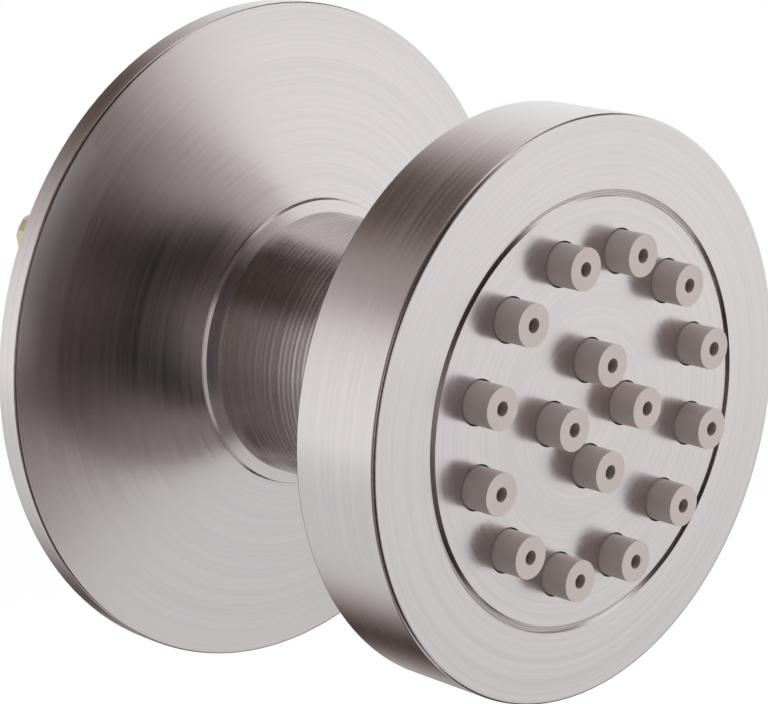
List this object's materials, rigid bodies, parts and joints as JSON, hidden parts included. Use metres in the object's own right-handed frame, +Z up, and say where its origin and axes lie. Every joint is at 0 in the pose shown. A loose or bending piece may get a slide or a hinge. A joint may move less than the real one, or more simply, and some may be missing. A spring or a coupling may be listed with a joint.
{
  "type": "shower body jet",
  "caption": "Wall-mounted shower body jet: round brushed spray head with soft nozzles on a ball joint, short neck, conical wall flange and threaded inlet with wrench flats.",
  "frame": {"origin": "on the axis, in the plane of the wall that the flange rests on", "axes": "the spray faces -Y, the inlet thread opens towards +Y behind the wall, and +Z is up"},
  "size_m": [0.062, 0.0628, 0.062],
  "materials": {
    "brushed_nickel": "brushed nickel plate, lines round the axis",
    "bright_nickel": "polished nickel plate",
    "brass": "raw turned brass",
    "stainless": "perforated stainless sheet",
    "silicone": "soft taupe grey silicone",
    "black_rubber": "black nitrile rubber",
    "foam": "closed cell foam",
    "white_plastic": "natural acetal",
    "grey_plastic": "grey moulded plastic"
  },
  "bodies": {
    "base": {"inlet_body": "brass", "filter_screen": "stainless", "filter_washer": "black_rubber", "flow_regulator": "white_plastic", "regulator_ring": "black_rubber", "escutcheon": "brushed_nickel", "escutcheon_ring": "black_rubber", "wall_gasket": "foam", "foot_washer": "white_plastic", "neck_sleeve": "brushed_nickel", "ball_seal": "black_rubber"},
    "cup": {"ball_cup": "white_plastic"},
    "head": {"ball_stem": "bright_nickel", "stem_ring": "black_rubber", "back_cover": "brushed_nickel", "cover_ring": "black_rubber", "spray_plate": "grey_plastic", "nozzle_mat": "silicone", "face_plate": "brushed_nickel", "head_shell": "brushed_nickel"}
  },
  "joints": [
    {"name": "swivel", "type": "hinge", "parent": "base", "child": "cup", "pos_m": [0, -0.018, 0], "axis": [0, -1, 0], "continuous": true},
    {"name": "tilt", "type": "hinge", "parent": "cup", "child": "head", "pos_m": [0, -0.018, 0], "axis": [1, 0, 0], "range_deg": [-15, 15]}
  ]
}
